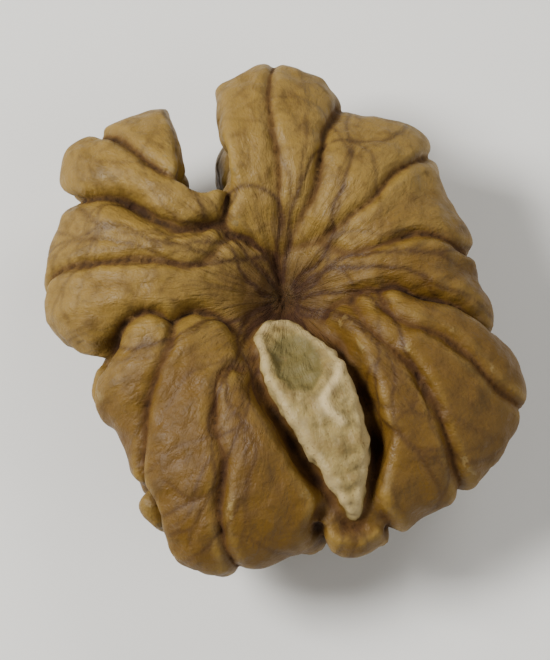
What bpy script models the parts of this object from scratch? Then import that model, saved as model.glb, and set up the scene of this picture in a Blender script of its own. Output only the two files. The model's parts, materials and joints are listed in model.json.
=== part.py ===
"""Shelled walnut kernel half, lying on its rounded outer face with its inner face up.

+Z is up, +Y runs from the pointed tip to the cleft at the base, and the origin is on the
surface that the half lies on, under the middle of its box. All sizes are in metres.
"""

import math
import random

import bpy
import numpy as np
from mathutils import Vector, noise

MM = 0.001

# Driving sizes of the half.
WIDTH = 25.4 * MM
LENGTH = 30.2 * MM
THICKNESS = 12.0 * MM

# The middle hollow of the inner face, from the middle of the box.
HOLLOW_X = 1.0 * MM
HOLLOW_Y = 0.8 * MM
HOLLOW_DEPTH = 4.9 * MM
HOLLOW_REACH = 4.4 * MM
HOLLOW_STEEPNESS = 1.5

# The rim seen from above: direction in degrees and distance in millimetres from the hollow.
RIM_OUTLINE = (
    (-171, 12.9), (-158, 12.5), (-146, 14.6), (-133, 16.6), (-124, 16.9), (-107, 15.2),
    (-97, 15.9), (-89, 15.9), (-79, 15.3), (-64, 15.8), (-45, 15.5), (-37, 14.4),
    (-31, 12.8), (-16, 11.5), (3, 11.7), (13, 11.4), (32, 13.3), (51, 12.2),
    (60, 13.9), (73, 14.9), (86, 14.0), (100, 14.0), (115, 15.3), (124, 16.1),
    (137, 14.3), (165, 14.1), (178, 11.5),
)
RIM_HEIGHT = 7.9 * MM
INNER_SWELL = 5.4 * MM
OUTER_FULLNESS = 1.12
UNDER_LEAN = 0.045

# The groove down the middle of the outer face.
GROOVE_X = -0.6 * MM
GROOVE_DEPTH = 1.9 * MM
GROOVE_REACH = 2.2 * MM
GROOVE_HALF_LENGTH = 8 * MM

# The torn tongue below the hollow: its middle line, half widths and trench, in millimetres.
TONGUE_PATH = ((-1.2, -2.7), (-0.9, -4.6), (-0.5, -7.4), (-0.4, -10.2), (-0.9, -13.5))
TONGUE_HALF_WIDTHS = (1.6, 2.3, 2.2, 1.8, 0.5)
TONGUE_TRENCH_DEPTHS = (1.0, 1.8, 2.7, 3.4, 1.6)
TONGUE_EDGE = 0.7 * MM
TONGUE_DISH = 0.3 * MM
TRENCH_WIDTH = 1.2 * MM
TRENCH_EDGE = 0.9 * MM

# How far the tongue's top reaches out and its dish stays in, as shares of the tongue's edge.
TOP_OUT = 0.3
DISH_IN = 0.5

# The sunk oval at the head of the tongue, in millimetres from the hollow.
OVAL_AT = (-0.95, -4.4)
OVAL_HALF_SIZE = (1.3, 1.9)
OVAL_DEPTH = 0.5 * MM
OVAL_REACH = 1.2
OVAL_EDGE = 0.4

# How far the tongue's relief takes to fade in above the rim, in radians of latitude.
TONGUE_FADE = 0.3

# The cleft at the base: its middle line and half widths in millimetres from the hollow, and how
# much wider it is at each height.
CLEFT_PATH = ((-2.2, 7.9), (-1.6, 10.2), (-0.9, 13.0), (-0.4, 18.0))
CLEFT_HALF_WIDTHS = (0.6, 0.8, 1.2, 1.5)
CLEFT_FLARE = ((-2, 2.2), (3, 1.1), (8, 1.0), (11, 1.7), (15, 2.6))

# Where the points of the cleft's round inner end lie, in degrees from its side.
CLEFT_END = (30, 60, 90, 120, 150)

# Folds of the inner face by lobe, each a row of (direction, latitude) in degrees.
INNER_LOBES = (
    (
        ((79, 70), (79, 49), (79, 24), (76, 2), (74, -22)),
        ((60, 68), (66, 45), (67, 20), (65, -2), (66, -24)),
        ((35, 68), (42, 43), (39, 20), (38, 0), (42, -20)),
        ((10, 66), (12, 44), (8, 22), (6, -2), (10, -20)),
        ((-6, 74), (-14, 50), (-20, 22), (-19, 0), (-18, -20)),
    ),
    (
        ((-57, 72), (-63, 60), (-70, 45), (-76, 26), (-79, 4), (-78, -20)),
        ((-40, 68), (-44, 53), (-52, 42), (-57, 20), (-58, -4), (-57, -24)),
        ((-28, 56), (-33, 40), (-38, 24), (-39, 0), (-38, -22)),
    ),
    (
        ((-134, 76), (-124, 62), (-114, 34), (-110, 8), (-108, -18)),
        ((-167, 66), (-152, 41), (-134, 28), (-129, 4), (-128, -20)),
        ((-176, 40), (-166, 24), (-156, 6), (-150, -18)),
    ),
    (
        ((-95, 10), (-94, -6), (-93, -22)),
    ),
    (
        ((160, 76), (158, 51), (164, 22), (166, 0), (168, -20)),
        ((142, 66), (142, 42), (146, 20), (148, -2), (146, -22)),
    ),
    (
        ((121, 63), (126, 41), (127, 18), (124, -4), (122, -22)),
        ((112, 50), (108, 30), (107, 8), (104, -16)),
    ),
)

# Long folds beside the middle groove of the outer face, in millimetres from the hollow.
GROOVE_FOLDS = (
    ((-3.6, -11.0), (-2.6, -8.5), (-3.4, -6.2)),
    ((-2.4, -2.4), (-3.4, 0.4), (-5.4, 1.6)),
    ((-2.7, 4.6), (-4.6, 6.6)),
    ((1.0, -12.8), (2.2, -10.6), (1.6, -8.0)),
    ((1.4, -4.2), (2.6, -2.0), (1.2, 0.2)),
    ((1.6, 3.8), (1.0, 6.6), (2.2, 9.0)),
)

# How the folds of the outer face wander: in millimetres, and in radians.
FOLD_SPACING = 3.2 * MM
FOLD_STEP = 1.5 * MM
FOLD_STEPS = (3, 4, 6, 7)
FOLD_TRIES = 1600
FOLD_START_SINES = (0.05, 0.995)
FIRST_TURN = 0.7
NEXT_TURN = 0.8

# How deep and wide the creases between lobes and between the folds of a lobe are.
OUTER_FOLD_DEPTH = 2.0 * MM
INNER_FOLD_DEPTH = 1.4 * MM
SMALL_FOLD_DEPTH = 1.0 * MM
FOLD_HALF_WIDTH = 2.6 * MM
SMALL_HALF_WIDTH = 1.6 * MM
CREASE_ROUNDING = 0.1
MEAN_DEPTH_SHARE = 0.8
DEPTH_UNEVENNESS = 0.45
UNEVEN_SIZE = 4 * MM
TURN_COST = 5.0 * MM
DRIFT_SIZE = 5 * MM
DRIFT_REACH = 1.0 * MM
DRIFT_OFFSET = Vector((17.3, 5.1, 9.7))

# How quickly the surface counts as part of the inner face as it turns upwards.
FACING_SHARPNESS = 1.5

# The creases are shallower near the hollow, and stop at the tongue and its trench.
CALM_REACH = 8.0 * MM
CALM_SHARE = 0.25
TONGUE_KEEPS = 1.1 * MM
TONGUE_KEEPS_EDGE = 0.6 * MM

# Small lumps on the folds.
LUMP_SIZE = 2.4 * MM
LUMP_DEPTH = 0.35 * MM
INNER_LUMP_SHARE = 0.25
LUMP_SHARPNESS = 1.6

# Evenness of the mesh, and the flat spots that the half lies on.
SPHERE_SEGMENTS = 288
SPHERE_RINGS = 144
BODY_VOXEL = 0.3 * MM
BODY_SOFTENING = 14
FOLD_VOXEL = 0.2 * MM
FOLD_SOFTENING = 1
MAX_TRIANGLES = 11600
REST_DEPTH = 0.5 * MM

SEED = 7
FAR = 1.0
SMALL_ANGLE = 1e-3


def smooth_step(value):
    """0 below 0, 1 above 1 and a soft rise between."""
    share = np.clip(value, 0, 1)
    return share * share * (3 - 2 * share)


def rim_radius(angle):
    """Distance from the hollow to the rim in a direction given in radians."""
    degrees, reach = zip(*RIM_OUTLINE)
    return np.interp(np.degrees(angle), degrees, reach, period=360) * MM


def along_path(x, y, path, *tables):
    """Distance of plan points from a middle line, with the values of tables along the line."""
    stations = np.array(path) * MM
    nearest = np.full(np.shape(x), FAR)
    place = np.zeros(np.shape(x))
    for number, (start, end) in enumerate(zip(stations[:-1], stations[1:])):
        run = end - start
        share = ((x - start[0]) * run[0] + (y - start[1]) * run[1]) / (run @ run)
        share = np.clip(share, 0, 1)
        gap = np.hypot(x - start[0] - share * run[0], y - start[1] - share * run[1])
        place = np.where(gap < nearest, number + share, place)
        nearest = np.minimum(gap, nearest)
    numbers = range(len(path))
    return nearest, *(np.interp(place, numbers, table) * MM for table in tables)


def tongue_relief(x, y):
    """Height that the torn tongue and the trench round it add to the inner face."""
    gap, half_width, trench = along_path(x, y, TONGUE_PATH, TONGUE_HALF_WIDTHS, TONGUE_TRENCH_DEPTHS)
    sunk = smooth_step((half_width + TRENCH_WIDTH - gap) / TRENCH_EDGE)
    inside = (half_width - gap) / TONGUE_EDGE
    raised = smooth_step(inside + TOP_OUT)
    dish = TONGUE_DISH * smooth_step(inside - DISH_IN)
    across, along = OVAL_HALF_SIZE
    away = np.hypot((x / MM - OVAL_AT[0]) / across, (y / MM - OVAL_AT[1]) / along)
    oval = OVAL_DEPTH * smooth_step((OVAL_REACH - away) / OVAL_EDGE)
    return raised * (trench - dish - oval) - sunk * trench


def envelope(angle, latitude):
    """Points of the half before it folds. Latitude is -90 degrees below and 90 over the hollow."""
    radius = rim_radius(angle) * np.cos(latitude)
    x = radius * np.cos(angle)
    y = radius * np.sin(angle)
    rise = np.abs(np.sin(latitude))
    hollow = HOLLOW_DEPTH * np.exp(-((radius / HOLLOW_REACH) ** HOLLOW_STEEPNESS)) * np.clip(latitude, 0, 1)
    tongue = tongue_relief(x, y) * smooth_step(latitude / TONGUE_FADE)
    inner = RIM_HEIGHT + INNER_SWELL * rise - hollow + tongue
    groove = GROOVE_DEPTH * np.exp(-(((x - GROOVE_X) / GROOVE_REACH) ** 2))
    outer = RIM_HEIGHT * (1 - rise ** OUTER_FULLNESS) + (groove + UNDER_LEAN * x) * rise
    z = np.where(latitude > 0, inner, outer)
    return np.stack([x + HOLLOW_X, y + HOLLOW_Y, z], axis=-1)


def envelope_axes(angle, latitude):
    """Steps on the envelope round the half and up it, and the direction that it faces."""
    step = SMALL_ANGLE
    across = (envelope(angle + step, latitude) - envelope(angle - step, latitude)) / (2 * step)
    up = (envelope(angle, latitude + step) - envelope(angle, latitude - step)) / (2 * step)
    normal = np.cross(across, up)
    return across, up, normal / np.linalg.norm(normal, axis=-1, keepdims=True)


def lifted(track):
    """A fold's middle line on the envelope and the directions that it faces."""
    angle, latitude = np.radians(np.array(track, float)).T
    return envelope(angle, latitude), envelope_axes(angle, latitude)[2]


def under(plan_track):
    """Turns plan points on the outer face into (direction, latitude) in degrees."""
    x, y = np.array(plan_track).T * MM
    angle = np.arctan2(y, x)
    share = np.minimum(np.hypot(x, y) / rim_radius(angle), 1)
    return np.degrees(np.stack([angle, -np.arccos(share)], axis=-1))


def walk(draw, taken):
    """One meandering fold of the outer face that keeps its distance from the others."""
    angle = draw.uniform(-math.pi, math.pi)
    latitude = -math.asin(draw.uniform(*FOLD_START_SINES))
    wobble = draw.uniform(-FIRST_TURN, FIRST_TURN)
    track = []
    for _ in range(draw.choice(FOLD_STEPS)):
        point = envelope(angle, latitude)
        if np.linalg.norm(taken - point, axis=1).min() < FOLD_SPACING or latitude > 0:
            break
        track.append((math.degrees(angle), math.degrees(latitude)))
        across, up, _ = envelope_axes(angle, latitude)
        on_groove = np.array([0, np.clip(point[1], -GROOVE_HALF_LENGTH, GROOVE_HALF_LENGTH), point[2]])
        outward = point - on_groove
        heading = math.atan2(outward @ across / np.linalg.norm(across), outward @ up / np.linalg.norm(up))
        wobble += draw.uniform(-NEXT_TURN, NEXT_TURN)
        angle += FOLD_STEP * math.sin(heading + wobble) / np.linalg.norm(across)
        latitude += FOLD_STEP * math.cos(heading + wobble) / np.linalg.norm(up)
    return track


def all_folds():
    """Every fold of the half with the number of its lobe."""
    folds = [(lobe, *lifted(track)) for lobe, tracks in enumerate(INNER_LOBES) for track in tracks]
    folds += [(len(INNER_LOBES) + n, *lifted(under(t))) for n, t in enumerate(GROOVE_FOLDS)]
    next_lobe = len(INNER_LOBES) + len(GROOVE_FOLDS)
    draw = random.Random(SEED)
    for _ in range(FOLD_TRIES):
        taken = np.concatenate([line for _, line, _ in folds])
        track = walk(draw, taken)
        if len(track) > 1:
            folds.append((next_lobe, *lifted(track)))
            next_lobe += 1
    return folds


def distance_to(points, normals, line, facing):
    """Distance to one fold, longer where the surface faces away from it."""
    best = np.full(len(points), FAR)
    for a, b, from_a, from_b in zip(line[:-1], line[1:], facing[:-1], facing[1:]):
        run = b - a
        share = np.clip((points - a) @ run / (run @ run), 0, 1)[:, None]
        gap = np.linalg.norm(points - a - share * run, axis=1)
        towards = from_a + share * (from_b - from_a)
        towards /= np.linalg.norm(towards, axis=1, keepdims=True)
        turned = (1 - (normals * towards).sum(axis=1)) / 2
        best = np.minimum(best, gap + TURN_COST * turned)
    return best


def crease(distances, half_width):
    """1 midway between the two nearest of the given things, falling to 0 on their backs."""
    nearest = np.partition(np.array(distances), 1, axis=0)
    share = np.clip((nearest[1] - nearest[0]) / half_width, 0, 1)
    rounded = np.hypot(share, CREASE_ROUNDING) - CREASE_ROUNDING * (1 - share)
    return 1 - np.sqrt(1 - (1 - np.minimum(rounded, 1)) ** 2)


def mesh_arrays(half):
    """The places of the half's points and the directions they face."""
    count = len(half.data.vertices)
    points = np.empty(count * 3)
    normals = np.empty(count * 3)
    half.data.vertices.foreach_get("co", points)
    half.data.vertices.foreach_get("normal", normals)
    return points.reshape(-1, 3), normals.reshape(-1, 3)


def set_points(half, points):
    half.data.vertices.foreach_set("co", points.ravel())
    half.data.update()


def drift(points, size, number):
    """Smooth random shifts between -1 and 1 at each point."""
    offset = number * DRIFT_OFFSET
    return np.array([noise.noise_vector(Vector(point) / size + offset) for point in points])


def lumps(points, size):
    """1 between small lumps, falling to 0 on top of them."""
    found = np.array([noise.voronoi(Vector(point) / size)[0][:2] for point in points])
    share = np.clip((found[:, 1] - found[:, 0]) * LUMP_SHARPNESS, 0, 1)
    return (1 - share) ** 2


def crease_depth(points, facing_up):
    """How deep the creases may go at each point."""
    deepest = OUTER_FOLD_DEPTH + (INNER_FOLD_DEPTH - OUTER_FOLD_DEPTH) * facing_up
    uneven = MEAN_DEPTH_SHARE + DEPTH_UNEVENNESS * drift(points, UNEVEN_SIZE, 2)[:, 0]
    near = np.hypot(points[:, 0] - HOLLOW_X, points[:, 1] - HOLLOW_Y) / CALM_REACH
    calm = 1 - facing_up * (1 - np.clip(near, CALM_SHARE, 1))
    return deepest, uneven * calm


def carve(half):
    """Presses the creases between folds and lumps into the surface."""
    points, normals = mesh_arrays(half)
    moved = points + drift(points, DRIFT_SIZE, 1) * DRIFT_REACH
    lobes = {}
    singles = []
    for lobe, line, facing in all_folds():
        gap = distance_to(moved, normals, line, facing)
        singles.append(gap)
        lobes[lobe] = np.minimum(lobes.get(lobe, gap), gap)
    deep = crease(list(lobes.values()), FOLD_HALF_WIDTH)
    fine = crease(singles, SMALL_HALF_WIDTH)
    facing_up = smooth_step(0.5 + FACING_SHARPNESS * normals[:, 2])
    deepest, share = crease_depth(points, facing_up)
    gap, half_width = along_path(points[:, 0] - HOLLOW_X, points[:, 1] - HOLLOW_Y, TONGUE_PATH,
                                 TONGUE_HALF_WIDTHS)
    kept = smooth_step((half_width + TONGUE_KEEPS - gap) / TONGUE_KEEPS_EDGE) * (normals[:, 2] > 0)
    depth = (deep * deepest + fine * SMALL_FOLD_DEPTH) * share
    depth += lumps(moved, LUMP_SIZE) * LUMP_DEPTH * (1 - (1 - INNER_LUMP_SHARE) * facing_up)
    set_points(half, points - normals * (depth * (1 - kept))[:, None])


def smooth_body(half):
    """A sphere drawn out to the envelope of the half."""
    points, _ = mesh_arrays(half)
    points /= np.linalg.norm(points, axis=1, keepdims=True)
    angle = np.arctan2(points[:, 1], points[:, 0])
    latitude = np.arcsin(np.clip(points[:, 2], -1, 1))
    set_points(half, envelope(angle, latitude))


def cleft_ring(flare):
    """Outline of the cleft seen from above, its half widths multiplied by the flare."""
    path = np.array(CLEFT_PATH)
    along = np.gradient(path, axis=0)
    along /= np.linalg.norm(along, axis=1, keepdims=True)
    side = np.stack([-along[:, 1], along[:, 0]], axis=1)
    reach = np.array(CLEFT_HALF_WIDTHS)[:, None] * flare
    turns = np.radians(CLEFT_END)[:, None]
    cap = path[0] + reach[0] * (side[0] * np.cos(turns) - along[0] * np.sin(turns))
    return np.concatenate([(path + side * reach)[::-1], cap, path - side * reach])


def cleft_blade():
    """The slot that parts the two base lobes, flaring towards the rim and both faces."""
    points = []
    for height, flare in CLEFT_FLARE:
        ring = cleft_ring(flare)
        points += [(x * MM + HOLLOW_X, y * MM + HOLLOW_Y, height * MM) for x, y in ring]
    count = len(ring)
    faces = [tuple(range(count))[::-1], tuple(range(len(points) - count, len(points)))]
    for level in range(len(CLEFT_FLARE) - 1):
        for n in range(count):
            low = level * count + n
            after = level * count + (n + 1) % count
            faces.append((low, after, after + count, low + count))
    mesh = bpy.data.meshes.new("cleft_blade")
    mesh.from_pydata(points, [], faces)
    blade = bpy.data.objects.new("cleft_blade", mesh)
    cutters = bpy.data.collections.new("cutters")
    bpy.context.scene.collection.children.link(cutters)
    cutters.objects.link(blade)
    blade.hide_render = True
    blade.display_type = "WIRE"
    return blade


def apply_modifiers(half):
    bpy.context.view_layer.objects.active = half
    for modifier in list(half.modifiers):
        bpy.ops.object.modifier_apply(modifier=modifier.name)


def even_out(half, voxel, rounds):
    """Remakes the surface in even faces and softens it."""
    even = half.modifiers.new("even", "REMESH")
    even.mode = "VOXEL"
    even.voxel_size = voxel
    soft = half.modifiers.new("soft", "SMOOTH")
    soft.iterations = rounds
    apply_modifiers(half)


def fit_box(half):
    """Brings the half to its driving sizes, standing on z = 0 with a flattened underside."""
    points, _ = mesh_arrays(half)
    low, high = points.min(axis=0), points.max(axis=0)
    points -= [(low[0] + high[0]) / 2, (low[1] + high[1]) / 2, low[2]]
    tall = high[2] - low[2]
    points *= [WIDTH / (high[0] - low[0]), LENGTH / (high[1] - low[1]), (THICKNESS + REST_DEPTH) / tall]
    points[:, 2] = np.maximum(points[:, 2] - REST_DEPTH, 0)
    set_points(half, points)


def skin():
    """The dry papery skin of the kernel."""
    material = bpy.data.materials.new("walnut_skin")
    material.use_nodes = True
    surface = material.node_tree.nodes["Principled BSDF"]
    surface.inputs["Base Color"].default_value = (0.29, 0.17, 0.065, 1)
    surface.inputs["Roughness"].default_value = 0.5
    return material


def kernel_half(collection):
    bpy.ops.mesh.primitive_uv_sphere_add(segments=SPHERE_SEGMENTS, ring_count=SPHERE_RINGS, radius=1)
    half = bpy.context.object
    half.name = "kernel_half"
    for owner in list(half.users_collection):
        owner.objects.unlink(half)
    collection.objects.link(half)
    smooth_body(half)
    cleft = half.modifiers.new("cleft", "BOOLEAN")
    cleft.operation = "DIFFERENCE"
    cleft.solver = "EXACT"
    cleft.object = cleft_blade()
    even_out(half, BODY_VOXEL, BODY_SOFTENING)
    carve(half)
    even_out(half, FOLD_VOXEL, FOLD_SOFTENING)
    triangles = 2 * len(half.data.polygons)
    lighter = half.modifiers.new("lighter", "DECIMATE")
    lighter.ratio = MAX_TRIANGLES / triangles
    apply_modifiers(half)
    fit_box(half)
    half.data.materials.append(skin())
    half.data.shade_smooth()
    return half


def main():
    noise.seed_set(SEED)
    for obj in list(bpy.data.objects):
        bpy.data.objects.remove(obj, do_unlink=True)
    collection = bpy.data.collections.new("walnut_kernel_half")
    bpy.context.scene.collection.children.link(collection)
    kernel_half(collection)


main()
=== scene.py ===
"""Dresses a walnut kernel half: finer folds, wrinkled skin with veins, a torn tongue of flesh.

The half lies with its inner face up. Sizes are in metres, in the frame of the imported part, or in
millimetres where a comment says so.
"""

import json
import math
import random

import bpy
import numpy as np
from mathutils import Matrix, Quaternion, Vector, noise
from mathutils.bvhtree import BVHTree
from mathutils.kdtree import KDTree

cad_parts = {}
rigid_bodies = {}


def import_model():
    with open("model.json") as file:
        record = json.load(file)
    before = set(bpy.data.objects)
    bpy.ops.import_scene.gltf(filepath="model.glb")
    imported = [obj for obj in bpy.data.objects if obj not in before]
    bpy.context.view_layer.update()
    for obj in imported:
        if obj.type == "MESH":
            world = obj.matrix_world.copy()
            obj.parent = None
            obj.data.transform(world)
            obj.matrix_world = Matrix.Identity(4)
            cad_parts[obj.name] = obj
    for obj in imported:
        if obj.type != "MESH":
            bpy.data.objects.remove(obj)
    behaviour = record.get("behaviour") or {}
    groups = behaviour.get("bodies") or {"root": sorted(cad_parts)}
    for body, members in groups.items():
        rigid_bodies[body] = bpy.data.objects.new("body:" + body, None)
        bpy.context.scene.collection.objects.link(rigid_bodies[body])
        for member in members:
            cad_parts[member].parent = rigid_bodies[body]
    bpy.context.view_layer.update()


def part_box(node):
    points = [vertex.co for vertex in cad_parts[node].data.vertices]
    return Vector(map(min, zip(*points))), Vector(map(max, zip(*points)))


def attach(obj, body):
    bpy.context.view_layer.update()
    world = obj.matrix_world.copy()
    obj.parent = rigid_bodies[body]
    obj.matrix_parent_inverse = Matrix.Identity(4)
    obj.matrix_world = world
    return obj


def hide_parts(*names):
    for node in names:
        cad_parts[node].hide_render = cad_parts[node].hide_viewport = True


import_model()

MM = 0.001

PACKED_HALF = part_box("kernel_half")

# The middle hollow of the inner face, from the middle of the box.
HOLLOW_X = 1.0 * MM
HOLLOW_Y = 0.8 * MM
HOLLOW_DEPTH = 4.9 * MM
HOLLOW_REACH = 4.4 * MM
HOLLOW_STEEPNESS = 1.5

# The rim seen from above: direction in degrees and distance in millimetres from the hollow.
RIM_OUTLINE = (
    (-171, 12.9), (-158, 12.5), (-146, 14.6), (-133, 16.6), (-124, 16.9), (-107, 15.2),
    (-97, 15.9), (-89, 15.9), (-79, 15.3), (-64, 15.8), (-45, 15.5), (-37, 14.4),
    (-31, 12.8), (-16, 11.5), (3, 11.7), (13, 11.4), (32, 13.3), (51, 12.2),
    (60, 13.9), (73, 14.9), (86, 14.0), (100, 14.0), (115, 15.3), (124, 16.1),
    (137, 14.3), (165, 14.1), (178, 11.5),
)
RIM_HEIGHT = 7.9 * MM
INNER_SWELL = 5.4 * MM
OUTER_FULLNESS = 1.12
UNDER_LEAN = 0.045

# The groove down the middle of the outer face.
GROOVE_X = -0.6 * MM
GROOVE_DEPTH = 1.9 * MM
GROOVE_REACH = 2.2 * MM
GROOVE_HALF_LENGTH = 8 * MM

# The torn tongue below the hollow: its middle line, half widths and trench, in millimetres.
TONGUE_PATH = ((-1.2, -2.7), (-0.9, -4.6), (-0.5, -7.4), (-0.4, -10.2), (-0.9, -13.5))
TONGUE_HALF_WIDTHS = (1.6, 2.3, 2.2, 1.8, 0.5)
TONGUE_TRENCH_DEPTHS = (1.0, 1.8, 2.7, 3.4, 1.6)
TONGUE_EDGE = 0.7 * MM
TONGUE_DISH = 0.3 * MM
TRENCH_WIDTH = 1.2 * MM
TRENCH_EDGE = 0.9 * MM

# How far the tongue's top reaches out and its dish stays in, as shares of the tongue's edge.
TOP_OUT = 0.3
DISH_IN = 0.5

# The sunk oval at the head of the tongue, in millimetres from the hollow.
OVAL_AT = (-0.95, -4.4)
OVAL_HALF_SIZE = (1.3, 1.9)
OVAL_DEPTH = 0.5 * MM
OVAL_REACH = 1.2
OVAL_EDGE = 0.4

# How far the tongue's relief takes to fade in above the rim, in radians of latitude.
TONGUE_FADE = 0.3

# The cleft at the base: its middle line and half widths in millimetres from the hollow, and how
# much wider it is at each height.
CLEFT_PATH = ((-2.2, 7.9), (-1.6, 10.2), (-0.9, 13.0), (-0.4, 18.0))
CLEFT_HALF_WIDTHS = (0.6, 0.8, 1.2, 1.5)
CLEFT_FLARE = ((-2, 2.2), (3, 1.1), (8, 1.0), (11, 1.7), (15, 2.6))

# Where the points of the cleft's round inner end lie, in degrees from its side.
CLEFT_END = (30, 60, 90, 120, 150)

# Folds of the inner face by lobe, each a row of (direction, latitude) in degrees.
INNER_LOBES = (
    (
        ((79, 70), (79, 49), (79, 24), (76, 2), (74, -22)),
        ((60, 68), (66, 45), (67, 20), (65, -2), (66, -24)),
        ((35, 68), (42, 43), (39, 20), (38, 0), (42, -20)),
        ((10, 66), (12, 44), (8, 22), (6, -2), (10, -20)),
        ((-6, 74), (-14, 50), (-20, 22), (-19, 0), (-18, -20)),
    ),
    (
        ((-57, 72), (-63, 60), (-70, 45), (-76, 26), (-79, 4), (-78, -20)),
        ((-40, 68), (-44, 53), (-52, 42), (-57, 20), (-58, -4), (-57, -24)),
        ((-28, 56), (-33, 40), (-38, 24), (-39, 0), (-38, -22)),
    ),
    (
        ((-134, 76), (-124, 62), (-114, 34), (-110, 8), (-108, -18)),
        ((-167, 66), (-152, 41), (-134, 28), (-129, 4), (-128, -20)),
        ((-176, 40), (-166, 24), (-156, 6), (-150, -18)),
    ),
    (
        ((-95, 10), (-94, -6), (-93, -22)),
    ),
    (
        ((160, 76), (158, 51), (164, 22), (166, 0), (168, -20)),
        ((142, 66), (142, 42), (146, 20), (148, -2), (146, -22)),
    ),
    (
        ((121, 63), (126, 41), (127, 18), (124, -4), (122, -22)),
        ((112, 50), (108, 30), (107, 8), (104, -16)),
    ),
)

# Long folds beside the middle groove of the outer face, in millimetres from the hollow.
GROOVE_FOLDS = (
    ((-3.6, -11.0), (-2.6, -8.5), (-3.4, -6.2)),
    ((-2.4, -2.4), (-3.4, 0.4), (-5.4, 1.6)),
    ((-2.7, 4.6), (-4.6, 6.6)),
    ((1.0, -12.8), (2.2, -10.6), (1.6, -8.0)),
    ((1.4, -4.2), (2.6, -2.0), (1.2, 0.2)),
    ((1.6, 3.8), (1.0, 6.6), (2.2, 9.0)),
)

# How the folds of the outer face wander: how far apart, in which steps, and turns in radians.
FOLD_SPACING = 3.2 * MM
FOLD_STEP = 1.5 * MM
FOLD_STEPS = (3, 4, 6, 7)
FOLD_TRIES = 1600
FOLD_START_SINES = (0.05, 0.995)
FIRST_TURN = 0.7
NEXT_TURN = 0.8

# How deep and wide the creases between lobes and between the folds of a lobe are, and how much
# their depth varies, and over which distance.
OUTER_FOLD_DEPTH = 2.0 * MM
INNER_FOLD_DEPTH = 1.4 * MM
SMALL_FOLD_DEPTH = 1.0 * MM
FOLD_HALF_WIDTH = 2.6 * MM
SMALL_HALF_WIDTH = 1.6 * MM
CREASE_ROUNDING = 0.1
MEAN_DEPTH_SHARE = 0.8
DEPTH_UNEVENNESS = 0.45
UNEVEN_SIZE = 4 * MM

# How much farther off a fold counts where the surface faces away from it.
TURN_COST = 5.0 * MM

# How far and over which distance the creases drift, and what sets one smooth draw apart from
# the next.
DRIFT_SIZE = 5 * MM
DRIFT_REACH = 1.0 * MM
DRIFT_OFFSET = Vector((17.3, 5.1, 9.7))
DRIFT_DRAW = 1
UNEVEN_DRAW = 2

# How quickly the surface counts as part of the inner face as it turns upwards.
FACING_SHARPNESS = 1.5

# The creases are shallower near the hollow, and stop at the tongue and its trench.
CALM_REACH = 8.0 * MM
CALM_SHARE = 0.25
TONGUE_KEEPS = 1.1 * MM
TONGUE_KEEPS_EDGE = 0.6 * MM

# Small lumps on the folds.
LUMP_SIZE = 2.4 * MM
LUMP_DEPTH = 0.35 * MM
INNER_LUMP_SHARE = 0.25
LUMP_SHARPNESS = 1.6

# Evenness of the mesh, and the flat spots that the half lies on.
SPHERE_SEGMENTS = 288
SPHERE_RINGS = 144
BODY_VOXEL = 0.3 * MM
BODY_SOFTENING = 14
FOLD_VOXEL = 0.185 * MM
FOLD_SOFTENING = 1
REST_DEPTH = 0.5 * MM

# Where the random draws start, a distance beyond any other, and a small step in radians.
SEED = 7
FAR = 1.0
SMALL_ANGLE = 1e-3

# The skin's grain runs out from the hollow: where its widths are true, how many widths it is
# long, and the way to the rim. Below the inner face it fades to an even grain.
FLOW_RADIUS = 10 * MM
FLOW_STRETCH = 2.2
WAY_TO_RIM = 15 * MM
INNER_FACE_SHARE = 0.8
FLOW_FADE = 4 * MM

# Small relief of the dry skin: lumps of any direction, and streaks that run with the grain.
WRINKLE_SIZE = 1.1 * MM
WRINKLE_DEPTH = 0.12 * MM
STREAK_SIZE = 1.67 * MM
STREAK_DEPTH = 0.16 * MM

# Where the skin ends on the torn tongue, and the relief of the flesh there.
TEAR_OUT = 0.05 * MM
TEAR_EDGE = 0.25 * MM
TEAR_RAGGEDNESS = 0.16 * MM
TEAR_RAG_SIZE = 0.8 * MM
TEAR_LOWEST = 7.0 * MM
TEAR_FADE = 0.8 * MM
TEAR_SIZE = 0.6 * MM
TEAR_DEPTH = 0.22 * MM

# The pale ridge across the torn tongue, in millimetres from the hollow, and the lip at its edge.
TORN_RIDGE = ((1.3, -5.4), (0.9, -6.2), (-0.4, -7.3), (-0.3, -8.1), (0.1, -8.8))
TORN_RIDGE_HALF_WIDTH = 0.3 * MM
TORN_RIDGE_HEIGHT = 0.25 * MM
LIP_IN = 0.35 * MM
LIP_HALF_WIDTH = 0.3 * MM
LIP_SHARE = 0.6

# How far the stain of the sunk oval reaches, in its half sizes.
OVAL_STAIN_REACH = 1.25

# The painted shade of the hollow, and the rounds of smoothing that leave the broad form of the half.
HOLLOW_SHADE_REACH = 2.6 * MM
BROAD_FORM_ROUNDS = 40

# Veins that creep over the skin from the hollow and from the groove below.
VEIN_STEP = 0.12 * MM
VEIN_HALF_WIDTH = 0.18 * MM
VEIN_DEPTH = 0.05 * MM
VEIN_WANDER = 0.1
VEIN_FADE = 0.5
HOLLOW_VEINS = 20
HOLLOW_VEIN_START = 1.2 * MM
HOLLOW_VEIN_LENGTH = 17 * MM
HOLLOW_VEIN_SHIFT = 0.3
HOLLOW_VEIN_PHASE = 5
GROOVE_VEINS = 10
GROOVE_VEIN_FIRST = -12 * MM
GROOVE_VEIN_SPACING = 2.4 * MM
GROOVE_VEIN_LENGTH = 13 * MM
GROOVE_VEIN_SLANT = 0.3
GROOVE_VEIN_STRENGTH = 0.9

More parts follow.
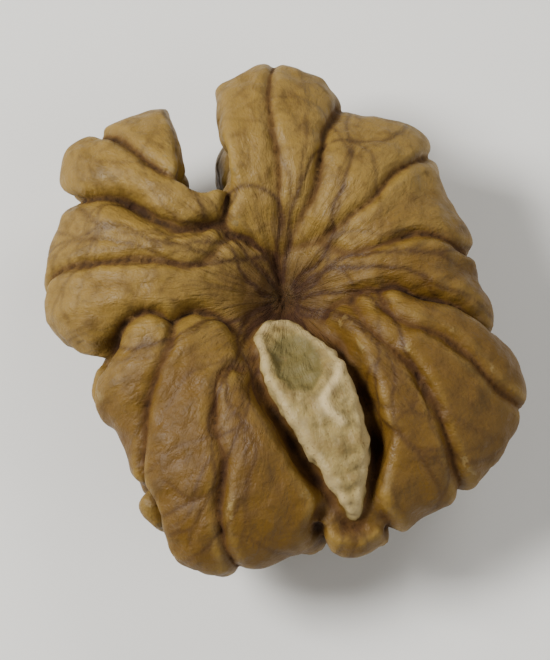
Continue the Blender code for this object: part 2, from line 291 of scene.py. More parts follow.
# Veins part into branches: how far apart, how sharply, and how much shorter and fainter.
FIRST_BRANCH = (2.5 * MM, 6.0 * MM)
NEXT_BRANCH = (3.5 * MM, 7.0 * MM)
BRANCH_TURN = (0.35, 0.8)
BRANCH_LENGTH_SHARE = 0.5
BRANCH_STRENGTH_SHARE = 0.65
LEAST_BRANCHING = 0.6

# Grain of the finish: what it runs along, the real size of its lumps, detail, roughness, warp.
# The finest wrinkles of real skin are half the size of the speckle, which is as fine as shows.
GRAINS = {
    "blotches": ("where", 6 * MM, 2.0, 0.55, 0.0),
    "mottle": ("where", 0.9 * MM, 4.0, 0.55, 0.0),
    "speckle": ("where", 0.22 * MM, 2.0, 0.55, 0.0),
    "flakes": ("where", 1.7 * MM, 4.0, 0.6, 0.0),
    "streaks": ("flow", 1.25 * MM, 4.0, 0.6, 0.4),
    "puckers": ("flow", 0.56 * MM, 3.0, 0.6, 0.5),
}

# Skin near the base and by the tip, darker and redder by the tip, and where one goes over to the other.
BASE_SKIN = "#7f642c"
TIP_SKIN = "#614511"
TIP_DARKENING = (13 * MM, 4 * MM)
TIP_BLOTCH_REACH = 16 * MM

# Stains of the skin and painted light in turn: what each follows, from and to which value, its most,
# its colour. A height is in millimetres above the broad form of the half.
SKIN_STAINS_AND_PAINTED_LIGHT = (
    ("mottle", 0.48, 0.72, 0.55, "#523a12"),
    ("streaks", 0.5, 0.68, 0.6, "#4a3410"),
    # Lighter on the ridges: partly paler skin, partly a painted highlight.
    ("height", 0.03, 0.13, 0.4, "#987c3b"),
    # Painted shade in the middle hollow.
    ("hollow", 0.0, 1.0, 0.65, "#46311b"),
    # Darker in the creases: partly the skin's own deeper brown, partly painted shade.
    ("height", 0.03, -0.09, 0.7, "#492c0e"),
    # Near black in the deepest creases and the trench by the tongue: painted shadow.
    ("height", -0.05, -0.17, 0.85, "#231206"),
    ("vein", 0.0, 1.0, 0.85, "#351c0a"),
)

# The torn flesh, its stains and painted shade: blotches, the sunk oval, the pale ridge and lip,
# painted shade in the low places, and crumbs of skin.
FLESH = "#8f7b4a"
FLESH_STAINS_AND_SHADE = (
    ("mottle", 0.4, 0.66, 0.8, "#6a5a33"),
    ("flakes", 0.5, 0.66, 0.5, "#775f34"),
    ("oval", 0.0, 1.0, 0.75, "#5a512a"),
    ("ridge", 0.0, 1.0, 0.8, "#bfa97a"),
    # Darker in the low places of the flesh: painted shade.
    ("height", -0.02, -0.2, 0.8, "#544a28"),
    ("speckle", 0.6, 0.74, 0.6, "#654d24"),
)

# Bare flesh shows where the skin is torn, and in flakes on the ridges of the folds.
TORN_FROM = (0.4, 0.6)
FLAKED_HEIGHTS = (0.04, 0.09)
FLAKED_FROM = (0.635, 0.655)

# Satin skin, duller in the creases where it holds dust.
SKIN_ROUGHNESS = (0.46, 0.66)
MOTTLE_RANGE = (0.3, 0.7)
DUSTY_HEIGHTS = (-0.01, -0.1)
DUSTY_ROUGHNESS = 0.35

# Oil in the seed coat and flesh bends light as in most nuts, and lets a little of it through.
SKIN_IOR = 1.46
SKIN_SPECULAR = 0.3
SKIN_SUBSURFACE = 0.06
SKIN_SUBSURFACE_RADIUS = (1.0, 0.55, 0.25)
SKIN_SUBSURFACE_SCALE = 0.6 * MM

# Relief too fine for the mesh: the grain that it follows, its depth and its strength.
FINE_RELIEF = (
    ("speckle", 0.05 * MM, 0.9),
    ("streaks", 0.16 * MM, 0.8),
    ("puckers", 0.16 * MM, 0.8),
    ("mottle", 0.13 * MM, 0.8),
)

# Sockets of a node that mixes two colours: the share of the second, the two, and the result.
MIX_SHARE = 0
MIX_FIRST = 6
MIX_SECOND = 7
MIX_RESULT = 2

# The pale board that the half lies on.
BOARD_SIZE = 1.2
BOARD_COLOUR = "#e4e2dc"
BOARD_ROUGHNESS = 0.85

# Soft lamps: direction and height in degrees, distance and side in metres, power in watts.
LAMPS = {
    "key": (-118, 48, 0.30, 0.10, 1.45),
    "fill": (40, 40, 0.35, 0.30, 0.45),
    "back": (120, 42, 0.35, 0.16, 0.40),
}
ROOM_COLOUR = "#f2f1ee"
ROOM_STRENGTH = 0.22

# The camera looks down on the inner face, turned as the half lies in the photograph. Its angles
# are in degrees, its lens and sensor in millimetres.
CAMERA_AZIMUTH = -20.6
CAMERA_ELEVATION = 75
CAMERA_DISTANCE = 0.165
CAMERA_AIM_HEIGHT = 5 * MM
CAMERA_LENS = 100
CAMERA_SENSOR = 24
CAMERA_NEAR = 0.01


def smooth_step(value):
    """0 below 0, 1 above 1 and a soft rise between."""
    share = np.clip(value, 0, 1)
    return share * share * (3 - 2 * share)


def rim_radius(angle):
    """Distance from the hollow to the rim in a direction given in radians."""
    degrees, reach = zip(*RIM_OUTLINE)
    return np.interp(np.degrees(angle), degrees, reach, period=360) * MM


def along_path(x, y, path, *tables):
    """Distance of plan points from a middle line, with the values of tables along the line."""
    stations = np.array(path) * MM
    nearest = np.full(np.shape(x), FAR)
    place = np.zeros(np.shape(x))
    for number, (start, end) in enumerate(zip(stations[:-1], stations[1:])):
        run = end - start
        share = ((x - start[0]) * run[0] + (y - start[1]) * run[1]) / (run @ run)
        share = np.clip(share, 0, 1)
        gap = np.hypot(x - start[0] - share * run[0], y - start[1] - share * run[1])
        place = np.where(gap < nearest, number + share, place)
        nearest = np.minimum(gap, nearest)
    numbers = range(len(path))
    return nearest, *(np.interp(place, numbers, table) * MM for table in tables)


def tongue_relief(x, y):
    """Height that the torn tongue and the trench round it add to the inner face."""
    gap, half_width, trench = along_path(x, y, TONGUE_PATH, TONGUE_HALF_WIDTHS, TONGUE_TRENCH_DEPTHS)
    sunk = smooth_step((half_width + TRENCH_WIDTH - gap) / TRENCH_EDGE)
    inside = (half_width - gap) / TONGUE_EDGE
    raised = smooth_step(inside + TOP_OUT)
    dish = TONGUE_DISH * smooth_step(inside - DISH_IN)
    across, along = OVAL_HALF_SIZE
    away = np.hypot((x / MM - OVAL_AT[0]) / across, (y / MM - OVAL_AT[1]) / along)
    oval = OVAL_DEPTH * smooth_step((OVAL_REACH - away) / OVAL_EDGE)
    return raised * (trench - dish - oval) - sunk * trench


def envelope(angle, latitude):
    """Points of the half before it folds. Latitude is -90 degrees below and 90 over the hollow."""
    radius = rim_radius(angle) * np.cos(latitude)
    x = radius * np.cos(angle)
    y = radius * np.sin(angle)
    rise = np.abs(np.sin(latitude))
    hollow = HOLLOW_DEPTH * np.exp(-((radius / HOLLOW_REACH) ** HOLLOW_STEEPNESS)) * np.clip(latitude, 0, 1)
    tongue = tongue_relief(x, y) * smooth_step(latitude / TONGUE_FADE)
    inner = RIM_HEIGHT + INNER_SWELL * rise - hollow + tongue
    groove = GROOVE_DEPTH * np.exp(-(((x - GROOVE_X) / GROOVE_REACH) ** 2))
    outer = RIM_HEIGHT * (1 - rise ** OUTER_FULLNESS) + (groove + UNDER_LEAN * x) * rise
    z = np.where(latitude > 0, inner, outer)
    return np.stack([x + HOLLOW_X, y + HOLLOW_Y, z], axis=-1)


def envelope_axes(angle, latitude):
    """Steps on the envelope round the half and up it, and the direction that it faces."""
    step = SMALL_ANGLE
    across = (envelope(angle + step, latitude) - envelope(angle - step, latitude)) / (2 * step)
    up = (envelope(angle, latitude + step) - envelope(angle, latitude - step)) / (2 * step)
    normal = np.cross(across, up)
    return across, up, normal / np.linalg.norm(normal, axis=-1, keepdims=True)


def lifted(track):
    """A fold's middle line on the envelope and the directions that it faces."""
    angle, latitude = np.radians(np.array(track, float)).T
    return envelope(angle, latitude), envelope_axes(angle, latitude)[2]


def under(plan_track):
    """Turns plan points on the outer face into (direction, latitude) in degrees."""
    x, y = np.array(plan_track).T * MM
    angle = np.arctan2(y, x)
    share = np.minimum(np.hypot(x, y) / rim_radius(angle), 1)
    return np.degrees(np.stack([angle, -np.arccos(share)], axis=-1))


def walk(draw, taken):
    """One meandering fold of the outer face that keeps its distance from the others."""
    angle = draw.uniform(-math.pi, math.pi)
    latitude = -math.asin(draw.uniform(*FOLD_START_SINES))
    wobble = draw.uniform(-FIRST_TURN, FIRST_TURN)
    track = []
    for _ in range(draw.choice(FOLD_STEPS)):
        point = envelope(angle, latitude)
        if np.linalg.norm(taken - point, axis=1).min() < FOLD_SPACING or latitude > 0:
            break
        track.append((math.degrees(angle), math.degrees(latitude)))
        across, up, _ = envelope_axes(angle, latitude)
        on_groove = np.array([0, np.clip(point[1], -GROOVE_HALF_LENGTH, GROOVE_HALF_LENGTH), point[2]])
        outward = point - on_groove
        heading = math.atan2(outward @ across / np.linalg.norm(across), outward @ up / np.linalg.norm(up))
        wobble += draw.uniform(-NEXT_TURN, NEXT_TURN)
        angle += FOLD_STEP * math.sin(heading + wobble) / np.linalg.norm(across)
        latitude += FOLD_STEP * math.cos(heading + wobble) / np.linalg.norm(up)
    return track


def all_folds():
    """Every fold of the half with the number of its lobe."""
    folds = [(lobe, *lifted(track)) for lobe, tracks in enumerate(INNER_LOBES) for track in tracks]
    folds += [(len(INNER_LOBES) + n, *lifted(under(t))) for n, t in enumerate(GROOVE_FOLDS)]
    next_lobe = len(INNER_LOBES) + len(GROOVE_FOLDS)
    draw = random.Random(SEED)
    for _ in range(FOLD_TRIES):
        taken = np.concatenate([line for _, line, _ in folds])
        track = walk(draw, taken)
        if len(track) > 1:
            folds.append((next_lobe, *lifted(track)))
            next_lobe += 1
    return folds


def distance_to(points, normals, line, facing):
    """Distance to one fold, longer where the surface faces away from it."""
    best = np.full(len(points), FAR)
    for a, b, from_a, from_b in zip(line[:-1], line[1:], facing[:-1], facing[1:]):
        run = b - a
        share = np.clip((points - a) @ run / (run @ run), 0, 1)[:, None]
        gap = np.linalg.norm(points - a - share * run, axis=1)
        towards = from_a + share * (from_b - from_a)
        towards /= np.linalg.norm(towards, axis=1, keepdims=True)
        turned = (1 - (normals * towards).sum(axis=1)) / 2
        best = np.minimum(best, gap + TURN_COST * turned)
    return best


def crease(distances, half_width):
    """1 midway between the two nearest of the given things, falling to 0 on their backs."""
    nearest = np.partition(np.array(distances), 1, axis=0)
    share = np.clip((nearest[1] - nearest[0]) / half_width, 0, 1)
    rounded = np.hypot(share, CREASE_ROUNDING) - CREASE_ROUNDING * (1 - share)
    return 1 - np.sqrt(1 - (1 - np.minimum(rounded, 1)) ** 2)


def mesh_arrays(half):
    """The places of the half's points and the directions they face."""
    count = len(half.data.vertices)
    points = np.empty(count * 3)
    normals = np.empty(count * 3)
    half.data.vertices.foreach_get("co", points)
    half.data.vertices.foreach_get("normal", normals)
    return points.reshape(-1, 3), normals.reshape(-1, 3)


def set_points(half, points):
    half.data.vertices.foreach_set("co", points.ravel())
    half.data.update()


def drift(points, size, number):
    """Smooth random shifts between -1 and 1 at each point."""
    offset = number * DRIFT_OFFSET
    return np.array([noise.noise_vector(Vector(point) / size + offset) for point in points])


def lumps(points, size):
    """1 between small lumps, falling to 0 on top of them."""
    found = np.array([noise.voronoi(Vector(point) / size)[0][:2] for point in points])
    share = np.clip((found[:, 1] - found[:, 0]) * LUMP_SHARPNESS, 0, 1)
    return (1 - share) ** 2


def crease_depth(points, facing_up):
    """How deep the creases may go at each point."""
    deepest = OUTER_FOLD_DEPTH + (INNER_FOLD_DEPTH - OUTER_FOLD_DEPTH) * facing_up
    uneven = MEAN_DEPTH_SHARE + DEPTH_UNEVENNESS * drift(points, UNEVEN_SIZE, UNEVEN_DRAW)[:, 0]
    near = np.hypot(points[:, 0] - HOLLOW_X, points[:, 1] - HOLLOW_Y) / CALM_REACH
    calm = 1 - facing_up * (1 - np.clip(near, CALM_SHARE, 1))
    return deepest, uneven * calm


def carve(half):
    """Presses the creases between folds and lumps into the surface."""
    points, normals = mesh_arrays(half)
    moved = points + drift(points, DRIFT_SIZE, DRIFT_DRAW) * DRIFT_REACH
    lobes = {}
    singles = []
    for lobe, line, facing in all_folds():
        gap = distance_to(moved, normals, line, facing)
        singles.append(gap)
        lobes[lobe] = np.minimum(lobes.get(lobe, gap), gap)
    deep = crease(list(lobes.values()), FOLD_HALF_WIDTH)
    fine = crease(singles, SMALL_HALF_WIDTH)
    facing_up = smooth_step(0.5 + FACING_SHARPNESS * normals[:, 2])
    deepest, share = crease_depth(points, facing_up)
    gap, half_width = along_path(points[:, 0] - HOLLOW_X, points[:, 1] - HOLLOW_Y, TONGUE_PATH,
                                 TONGUE_HALF_WIDTHS)
    kept = smooth_step((half_width + TONGUE_KEEPS - gap) / TONGUE_KEEPS_EDGE) * (normals[:, 2] > 0)
    depth = (deep * deepest + fine * SMALL_FOLD_DEPTH) * share
    depth += lumps(moved, LUMP_SIZE) * LUMP_DEPTH * (1 - (1 - INNER_LUMP_SHARE) * facing_up)
    set_points(half, points - normals * (depth * (1 - kept))[:, None])


def smooth_body(half):
    """A sphere drawn out to the envelope of the half."""
    points, _ = mesh_arrays(half)
    points /= np.linalg.norm(points, axis=1, keepdims=True)
    angle = np.arctan2(points[:, 1], points[:, 0])
    latitude = np.arcsin(np.clip(points[:, 2], -1, 1))
    set_points(half, envelope(angle, latitude))


def cleft_ring(flare):
    """Outline of the cleft seen from above, its half widths multiplied by the flare."""
    path = np.array(CLEFT_PATH)
    along = np.gradient(path, axis=0)
    along /= np.linalg.norm(along, axis=1, keepdims=True)
    side = np.stack([-along[:, 1], along[:, 0]], axis=1)
    reach = np.array(CLEFT_HALF_WIDTHS)[:, None] * flare
    turns = np.radians(CLEFT_END)[:, None]
    cap = path[0] + reach[0] * (side[0] * np.cos(turns) - along[0] * np.sin(turns))
    return np.concatenate([(path + side * reach)[::-1], cap, path - side * reach])


def cleft_blade():
    """The slot that parts the two base lobes, flaring towards the rim and both faces."""
    points = []
    for height, flare in CLEFT_FLARE:
        ring = cleft_ring(flare)
        points += [(x * MM + HOLLOW_X, y * MM + HOLLOW_Y, height * MM) for x, y in ring]
    count = len(ring)
    faces = [tuple(range(count))[::-1], tuple(range(len(points) - count, len(points)))]
    for level in range(len(CLEFT_FLARE) - 1):
        for n in range(count):
            low = level * count + n
            after = level * count + (n + 1) % count
            faces.append((low, after, after + count, low + count))
    mesh = bpy.data.meshes.new("cleft_blade")
    mesh.from_pydata(points, [], faces)
    blade = bpy.data.objects.new("cleft_blade", mesh)
    bpy.context.scene.collection.objects.link(blade)
    return blade


def apply_modifiers(half):
    bpy.context.view_layer.objects.active = half
    for modifier in list(half.modifiers):
        bpy.ops.object.modifier_apply(modifier=modifier.name)


def in_fixed_order(half):
    """Puts points and faces in one order, because the cut leaves them in another each run."""
    points, _ = mesh_arrays(half)
    order = np.lexsort(points.T)
    places = np.argsort(order).tolist()
    rings = []
    for face in half.data.polygons:
        ring = [places[number] for number in face.vertices]
        first = ring.index(min(ring))
        rings.append(ring[first:] + ring[:first])
    ordered = bpy.data.meshes.new("kernel_skin")
    ordered.from_pydata(points[order].tolist(), [], sorted(rings))
    half.data = ordered


def cut_cleft(half):
    """Parts the two base lobes with a blade that goes once it has cut."""
    blade = cleft_blade()
    cleft = half.modifiers.new("cleft", "BOOLEAN")
    cleft.operation = "DIFFERENCE"
    cleft.solver = "EXACT"
    cleft.object = blade
    apply_modifiers(half)
    bpy.data.objects.remove(blade, do_unlink=True)
    in_fixed_order(half)


def even_out(half, voxel, rounds):
    """Remakes the surface in even faces and softens it."""
    even = half.modifiers.new("even", "REMESH")
    even.mode = "VOXEL"
    even.voxel_size = voxel
    soft = half.modifiers.new("soft", "SMOOTH")
    soft.iterations = rounds
    apply_modifiers(half)


def drop_bubbles(half):
    """Deletes the bubbles that the remesh leaves inside the half where creases pinch.

    The point farthest to the side is on the skin, so what hangs together with it stays.
    """
    points, _ = mesh_arrays(half)
    bpy.ops.object.mode_set(mode="EDIT")
    bpy.ops.mesh.select_mode(type="VERT")
    bpy.ops.mesh.select_all(action="DESELECT")
    bpy.ops.object.mode_set(mode="OBJECT")
    half.data.vertices[int(points[:, 0].argmax())].select = True
    bpy.ops.object.mode_set(mode="EDIT")
    bpy.ops.mesh.select_linked()
    bpy.ops.mesh.select_all(action="INVERT")
    bpy.ops.mesh.delete(type="VERT")
    bpy.ops.object.mode_set(mode="OBJECT")


def fit_box(half):
    """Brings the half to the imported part's box, with its underside flattened where it rests."""
    points, _ = mesh_arrays(half)
    low, high = points.min(axis=0), points.max(axis=0)
    points -= [(low[0] + high[0]) / 2, (low[1] + high[1]) / 2, low[2]]
    wide, long, tall = np.array(PACKED_HALF[1]) - np.array(PACKED_HALF[0])
    full = high - low
    points *= [wide / full[0], long / full[1], (tall + REST_DEPTH) / full[2]]
    points[:, 2] = np.maximum(points[:, 2] - REST_DEPTH, 0)
    set_points(half, points)


def vein_starts():
    """Where veins begin: round the hollow on the inner face, and along the groove below."""
    starts = []
    for number in range(HOLLOW_VEINS):
        shifted = number + HOLLOW_VEIN_SHIFT * math.sin(HOLLOW_VEIN_PHASE * number)
        turn = 2 * math.pi * shifted / HOLLOW_VEINS
        out = Vector((math.cos(turn), math.sin(turn), 0))
        place = Vector((HOLLOW_X, HOLLOW_Y, RIM_HEIGHT)) + out * HOLLOW_VEIN_START
        starts.append((place, out, HOLLOW_VEIN_LENGTH, 1.0))
    for number in range(GROOVE_VEINS):
        y = GROOVE_VEIN_FIRST + number * GROOVE_VEIN_SPACING
        place = Vector((HOLLOW_X + GROOVE_X, HOLLOW_Y + y, 0))
        for side in (-1, 1):
            out = Vector((side, GROOVE_VEIN_SLANT * math.sin(y / MM), 0))
            starts.append((place, out, GROOVE_VEIN_LENGTH, GROOVE_VEIN_STRENGTH))
    return starts


def grow_veins(tree, starts):
    """Points of branching veins that creep over the surface, with the strength of each."""
    draw = random.Random(SEED)
    found = []
    while starts:
        place, heading, length, strength = starts.pop()
        run = 0
        branch_at = draw.uniform(*FIRST_BRANCH)
        while run < length:
            place, facing, _, _ = tree.find_nearest(place + heading * VEIN_STEP)
            heading = Quaternion(facing, draw.gauss(0, VEIN_WANDER)) @ heading
            heading = (heading - facing * heading.dot(facing)).normalized()
            found.append((place.copy(), strength * (1 - VEIN_FADE * run / length)))
            run += VEIN_STEP
            if run > branch_at and strength > LEAST_BRANCHING:
                turn = draw.choice((-1, 1)) * draw.uniform(*BRANCH_TURN)
                side = Quaternion(facing, turn) @ heading
                branch = (length * BRANCH_LENGTH_SHARE, strength * BRANCH_STRENGTH_SHARE)
                starts.append((place.copy(), side, *branch))
                branch_at += draw.uniform(*NEXT_BRANCH)
    return found


def vein_share(half, points):
    """1 on the middle of a strong vein, less on a faint one or beside it, 0 elsewhere."""
    faces = [tuple(face.vertices) for face in half.data.polygons]
    tree = BVHTree.FromPolygons([Vector(point) for point in points], faces)
    veins = grow_veins(tree, vein_starts())
    nearest = KDTree(len(veins))
    for number, (place, _) in enumerate(veins):
        nearest.insert(place, number)
    nearest.balance()
    hits = [nearest.find(Vector(point)) for point in points]
    reach = np.array([hit[2] for hit in hits])
    strength = np.array([veins[hit[1]][1] for hit in hits])
    return strength * np.exp(-((reach / VEIN_HALF_WIDTH) ** 2))


def heights(half, points, normals):
    """How far each point stands proud of the broad form of the half, in millimetres."""
    soft = half.modifiers.new("soft", "SMOOTH")
    soft.iterations = BROAD_FORM_ROUNDS
    apply_modifiers(half)
    broad, _ = mesh_arrays(half)
    set_points(half, points)
    return ((points - broad) * normals).sum(axis=1) / MM


def flow_of(points):
    """Places along the grain of the skin: two that turn round the hollow, one that runs out."""
    x = points[:, 0] - HOLLOW_X
    y = points[:, 1] - HOLLOW_Y
    angle = np.arctan2(y, x)
    share = np.clip(np.hypot(x, y) / rim_radius(angle), 0, 1)
    depth = RIM_HEIGHT * INNER_FACE_SHARE - points[:, 2]
    below = smooth_step(depth / FLOW_FADE)
    radius = FLOW_RADIUS * (1 - below * (1 - np.sin(share * math.pi / 2)))
    way = WAY_TO_RIM * np.where(depth < 0, share, 2 - share)
    return np.stack([radius * np.cos(angle), radius * np.sin(angle), way / FLOW_STRETCH], axis=1)


def noise_at(points, size):
    """Smooth noise between -1 and 1 at each point."""
    return np.array([noise.noise(Vector(point) / size) for point in points])


def torn_share(points, normals):
    """1 on the torn flesh of the tongue, 0 on skin."""
    x = points[:, 0] - HOLLOW_X
    y = points[:, 1] - HOLLOW_Y
    gap, half_width = along_path(x, y, TONGUE_PATH, TONGUE_HALF_WIDTHS)
    gap += TEAR_RAGGEDNESS * noise_at(points, TEAR_RAG_SIZE)
    above = smooth_step((points[:, 2] - TEAR_LOWEST) / TEAR_FADE) * (normals[:, 2] > 0)
    return smooth_step((half_width + TEAR_OUT - gap) / TEAR_EDGE) * above


def torn_ridges(points):
    """1 along the ridge of the torn tongue, less along the lip at its edge, 0 elsewhere."""
    x = points[:, 0] - HOLLOW_X
    y = points[:, 1] - HOLLOW_Y
    from_ridge, = along_path(x, y, TORN_RIDGE)
    from_middle, half_width = along_path(x, y, TONGUE_PATH, TONGUE_HALF_WIDTHS)
    ridge = np.exp(-((from_ridge / TORN_RIDGE_HALF_WIDTH) ** 2))
    lip = np.exp(-(((half_width - from_middle - LIP_IN) / LIP_HALF_WIDTH) ** 2))
    return np.maximum(ridge, LIP_SHARE * lip)


def oval_share(points):
    """1 in the sunk oval at the head of the tongue, 0 outside it."""
    across, along = OVAL_HALF_SIZE
    away = np.hypot(((points[:, 0] - HOLLOW_X) / MM - OVAL_AT[0]) / across,
                    ((points[:, 1] - HOLLOW_Y) / MM - OVAL_AT[1]) / along)
    return smooth_step((OVAL_STAIN_REACH - away) / OVAL_EDGE)


def hollow_shade_share(points, normals):
    """Painted shade: 1 at the bottom of the middle hollow, falling to 0 away from it."""
    away = np.hypot(points[:, 0] - HOLLOW_X, points[:, 1] - HOLLOW_Y) / HOLLOW_SHADE_REACH
    return np.exp(-(away ** 2)) * (normals[:, 2] > 0)


def store(half, name, values):
    """Keeps one value, or one vector, for each point of the half."""
    values = np.asarray(values, dtype=np.float32)
    kind, field = ("FLOAT", "value") if values.ndim == 1 else ("FLOAT_VECTOR", "vector")
    layer = half.data.attributes.new(name, kind, "POINT")
    layer.data.foreach_set(field, values.ravel())


def dress_surface(half):
    """Adds wrinkles, streaks and veins, and keeps what the finish needs to know of each point."""
    points, normals = mesh_arrays(half)
    flow = flow_of(points)
    flesh = torn_share(points, normals)
    ridge = torn_ridges(points) * flesh
    vein = vein_share(half, points) * (1 - flesh)
    # The height lightens the ridges and darkens the creases in the finish, partly as painted highlight and
    # shade.
    store(half, "height", heights(half, points, normals))
    store(half, "flow", flow)
    store(half, "flesh", flesh)
    store(half, "ridge", ridge)
    store(half, "vein", vein)
    store(half, "oval", oval_share(points) * flesh)
    # The hollow's share darkens the skin there as painted shade.
    store(half, "hollow", hollow_shade_share(points, normals) * (1 - flesh))
    skin_relief = WRINKLE_DEPTH * noise_at(points, WRINKLE_SIZE) - VEIN_DEPTH * vein
    skin_relief += STREAK_DEPTH * noise_at(flow, STREAK_SIZE)
    torn_relief = TEAR_DEPTH * noise_at(points, TEAR_SIZE) + TORN_RIDGE_HEIGHT * ridge
    relief = skin_relief * (1 - flesh) + torn_relief * flesh
    set_points(half, points + normals * relief[:, None])


def linear(hex_colour):
    """An sRGB hex colour as the linear values that a shader takes."""
    values = [int(hex_colour[n:n + 2], 16) / 255 for n in (1, 3, 5)]
    return [v / 12.92 if v <= 0.04045 else ((v + 0.055) / 1.055) ** 2.4 for v in values] + [1]


def add_node(material, kind, inputs, **settings):
    """Adds a node with its settings. An input is a value, or another node's output to link."""
    node = material.node_tree.nodes.new(kind)
    for name, value in settings.items():
        setattr(node, name, value)
    for name, value in inputs.items():
        if isinstance(value, bpy.types.NodeSocket):
            material.node_tree.links.new(value, node.inputs[name])
        else:
            node.inputs[name].default_value = value
    return node


def tinted(material, colour, traits, tints):
    """Goes over a colour with tints, each of which follows one of the surface's traits: stains and
    tones, and painted light and shade.
    """
    for name, low, high, most, tint in tints:
        share = add_node(material, "ShaderNodeMapRange",
                         {"Value": traits[name], "From Min": low, "From Max": high, "To Max": most},
                         interpolation_type="SMOOTHSTEP")
        mixed = add_node(material, "ShaderNodeMix",
                         {MIX_SHARE: share.outputs[0], MIX_FIRST: colour, MIX_SECOND: linear(tint)},
                         data_type="RGBA")
        colour = mixed.outputs[MIX_RESULT]
    return colour


def surface_traits(material):
    """What the finish follows, by name: the values kept for each point, and the grains."""
    traits = {"where": add_node(material, "ShaderNodeTexCoord", {}).outputs["Object"]}
    flow = add_node(material, "ShaderNodeAttribute", {}, attribute_name="flow")
    traits["flow"] = flow.outputs["Vector"]
    for name in ("height", "flesh", "ridge", "vein", "oval", "hollow"):
        kept = add_node(material, "ShaderNodeAttribute", {}, attribute_name=name)
        traits[name] = kept.outputs["Fac"]
    for name, (along, size, detail, rough, warp) in GRAINS.items():
        grain = add_node(material, "ShaderNodeTexNoise",
                         {"Vector": traits[along], "Scale": 1 / size, "Detail": detail,
                          "Roughness": rough, "Distortion": warp})
        traits[name] = grain.outputs[0]
    return traits


def skin_colour(material, traits):
    """Amber brown, darker and redder on the lobes by the tip, darker along the veins. Lighter on the
    ridges, partly a painted highlight; darker in the creases, partly the skin's own brown and partly
    painted shade; painted shade in the hollow.
    """
    place = add_node(material, "ShaderNodeSeparateXYZ", {"Vector": traits["where"]}).outputs["Y"]
    tipward = add_node(material, "ShaderNodeMath", {0: traits["blotches"], 1: TIP_BLOTCH_REACH, 2: place},
                    operation="MULTIPLY_ADD")
    tip_traits = {"tipward": tipward.outputs[0]}
    skin = tinted(material, linear(BASE_SKIN), tip_traits, (("tipward", *TIP_DARKENING, 1.0, TIP_SKIN),))
    return tinted(material, skin, traits, SKIN_STAINS_AND_PAINTED_LIGHT)


def bare_share(material, traits):
    """1 where flesh is bare: on the torn tongue and in flakes on the ridges."""
    low, high = FLAKED_HEIGHTS
    on_ridge = add_node(material, "ShaderNodeMapRange",
                        {"Value": traits["height"], "From Min": low, "From Max": high},
                        interpolation_type="SMOOTHSTEP")
    low, high = FLAKED_FROM
    flaked = add_node(material, "ShaderNodeMapRange",
                      {"Value": traits["flakes"], "From Min": low, "From Max": high,
                       "To Max": on_ridge.outputs[0]},
                      interpolation_type="SMOOTHSTEP")
    low, high = TORN_FROM
    torn = add_node(material, "ShaderNodeMapRange",
                    {"Value": traits["flesh"], "From Min": low, "From Max": high},
                    interpolation_type="SMOOTHSTEP")
    bare = add_node(material, "ShaderNodeMath", {0: flaked.outputs[0], 1: torn.outputs[0]},
                    operation="MAXIMUM")
    return bare.outputs[0]


def skin_roughness(material, traits):
    """Satin that varies with the mottle, and dull in the creases."""
    low, high = MOTTLE_RANGE
    least, most = SKIN_ROUGHNESS
    satin = add_node(material, "ShaderNodeMapRange",
                     {"Value": traits["mottle"], "From Min": low, "From Max": high,
                      "To Min": least, "To Max": most})
    low, high = DUSTY_HEIGHTS
    dusty = add_node(material, "ShaderNodeMapRange",
                     {"Value": traits["height"], "From Min": low, "From Max": high,
                      "To Max": DUSTY_ROUGHNESS},
                     interpolation_type="SMOOTHSTEP")
    rough = add_node(material, "ShaderNodeMath", {0: satin.outputs[0], 1: dusty.outputs[0]},
                     operation="ADD")
    return rough.outputs[0]


def fine_relief(material, traits):
    """Bumps in turn, each on top of the one before."""
    normal = {}
    for name, depth, strength in FINE_RELIEF:
        bump = add_node(material, "ShaderNodeBump",
                        {"Height": traits[name], "Distance": depth, "Strength": strength, **normal})
        normal = {"Normal": bump.outputs[0]}
    return normal["Normal"]


def kernel_finish():
    """Dry walnut skin over oily cream flesh.

    The skin is a thin brown seed coat, dried on the flesh: satin, finely wrinkled, darker along its
    veins, and darker in the creases, partly its own brown and partly painted shade. The flesh shows
    where the skin has flaked and on the torn tongue.
    """
    material = bpy.data.materials.new("dried_walnut_skin_and_flesh")
    material.use_nodes = True
    traits = surface_traits(material)
    skin = skin_colour(material, traits)
    flesh = tinted(material, linear(FLESH), traits, FLESH_STAINS_AND_SHADE)
    bare = bare_share(material, traits)
    colour = add_node(material, "ShaderNodeMix",
                      {MIX_SHARE: bare, MIX_FIRST: skin, MIX_SECOND: flesh}, data_type="RGBA")
    surface = material.node_tree.nodes["Principled BSDF"]
    link = material.node_tree.links.new
    link(colour.outputs[MIX_RESULT], surface.inputs["Base Color"])
    link(skin_roughness(material, traits), surface.inputs["Roughness"])
    link(fine_relief(material, traits), surface.inputs["Normal"])
    surface.inputs["IOR"].default_value = SKIN_IOR
    surface.inputs["Specular IOR Level"].default_value = SKIN_SPECULAR
    surface.inputs["Subsurface Weight"].default_value = SKIN_SUBSURFACE
    surface.inputs["Subsurface Radius"].default_value = SKIN_SUBSURFACE_RADIUS
    surface.inputs["Subsurface Scale"].default_value = SKIN_SUBSURFACE_SCALE
    return material


def fine_half():
    """The kernel half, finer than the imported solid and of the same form."""
    bpy.ops.object.select_all(action="DESELECT")
    bpy.ops.mesh.primitive_uv_sphere_add(segments=SPHERE_SEGMENTS, ring_count=SPHERE_RINGS, radius=1)
    half = bpy.context.object
    half.name = "kernel_skin"
    smooth_body(half)
    cut_cleft(half)
    even_out(half, BODY_VOXEL, BODY_SOFTENING)
    even_out(half, FOLD_VOXEL, FOLD_SOFTENING)
    carve(half)
    even_out(half, FOLD_VOXEL, FOLD_SOFTENING)
    drop_bubbles(half)
    dress_surface(half)
    fit_box(half)
    half.data.shade_smooth()
    half.data.materials.append(kernel_finish())
    print("kernel_skin has", 2 * len(half.data.polygons), "triangles")
    return half


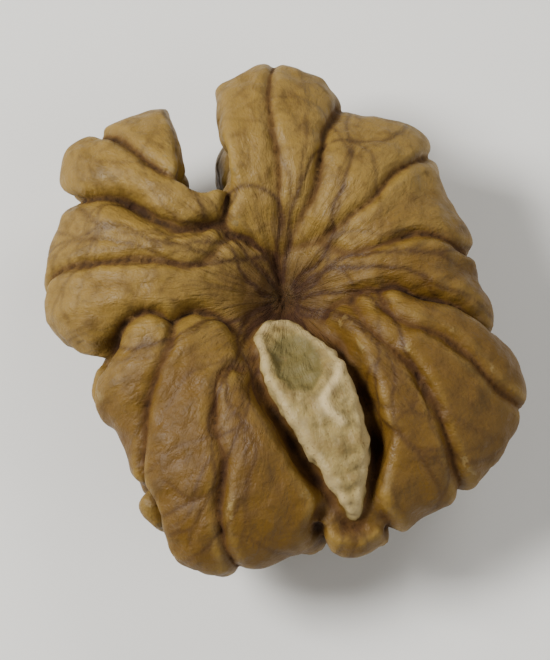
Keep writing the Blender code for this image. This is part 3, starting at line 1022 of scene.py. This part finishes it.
def floor():
    """A plain board under matt pale paint, which keeps the eye on the half."""
    bpy.ops.object.select_all(action="DESELECT")
    bpy.ops.mesh.primitive_plane_add(size=BOARD_SIZE)
    board = bpy.context.object
    board.name = "floor"
    paint = bpy.data.materials.new("matt_pale_board")
    paint.use_nodes = True
    surface = paint.node_tree.nodes["Principled BSDF"]
    surface.inputs["Base Color"].default_value = linear(BOARD_COLOUR)
    surface.inputs["Roughness"].default_value = BOARD_ROUGHNESS
    board.data.materials.append(paint)


def direction(azimuth, elevation):
    """From the half towards a place seen at an azimuth and elevation in degrees."""
    turn, rise = math.radians(azimuth), math.radians(elevation)
    return Vector((math.sin(turn) * math.cos(rise), -math.cos(turn) * math.cos(rise), math.sin(rise)))


def softbox(name, azimuth, elevation, distance, side, power):
    """A square area lamp that faces the half."""
    bpy.ops.object.light_add(type="AREA")
    lamp = bpy.context.object
    lamp.name = name
    back = direction(azimuth, elevation)
    lamp.location = back * distance
    lamp.rotation_euler = back.to_track_quat("Z", "Y").to_euler()
    lamp.data.size = side
    lamp.data.energy = power


def lights():
    for name, values in LAMPS.items():
        softbox(name, *values)
    world = bpy.data.worlds.new("studio")
    world.use_nodes = True
    room = world.node_tree.nodes["Background"]
    room.inputs["Color"].default_value = linear(ROOM_COLOUR)
    room.inputs["Strength"].default_value = ROOM_STRENGTH
    bpy.context.scene.world = world


def camera():
    """Looks down on the inner face, turned as the half lies in the photograph."""
    back = direction(CAMERA_AZIMUTH, CAMERA_ELEVATION)
    bpy.ops.object.camera_add()
    view = bpy.context.object
    view.location = Vector((0, 0, CAMERA_AIM_HEIGHT)) + back * CAMERA_DISTANCE
    view.rotation_euler = back.to_track_quat("Z", "Y").to_euler()
    view.data.lens = CAMERA_LENS
    view.data.sensor_fit = "VERTICAL"
    view.data.sensor_height = CAMERA_SENSOR
    view.data.clip_start = CAMERA_NEAR
    bpy.context.scene.camera = view


def main():
    noise.seed_set(SEED)
    half = fine_half()
    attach(half, "root")
    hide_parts("kernel_half")
    floor()
    lights()
    camera()


main()
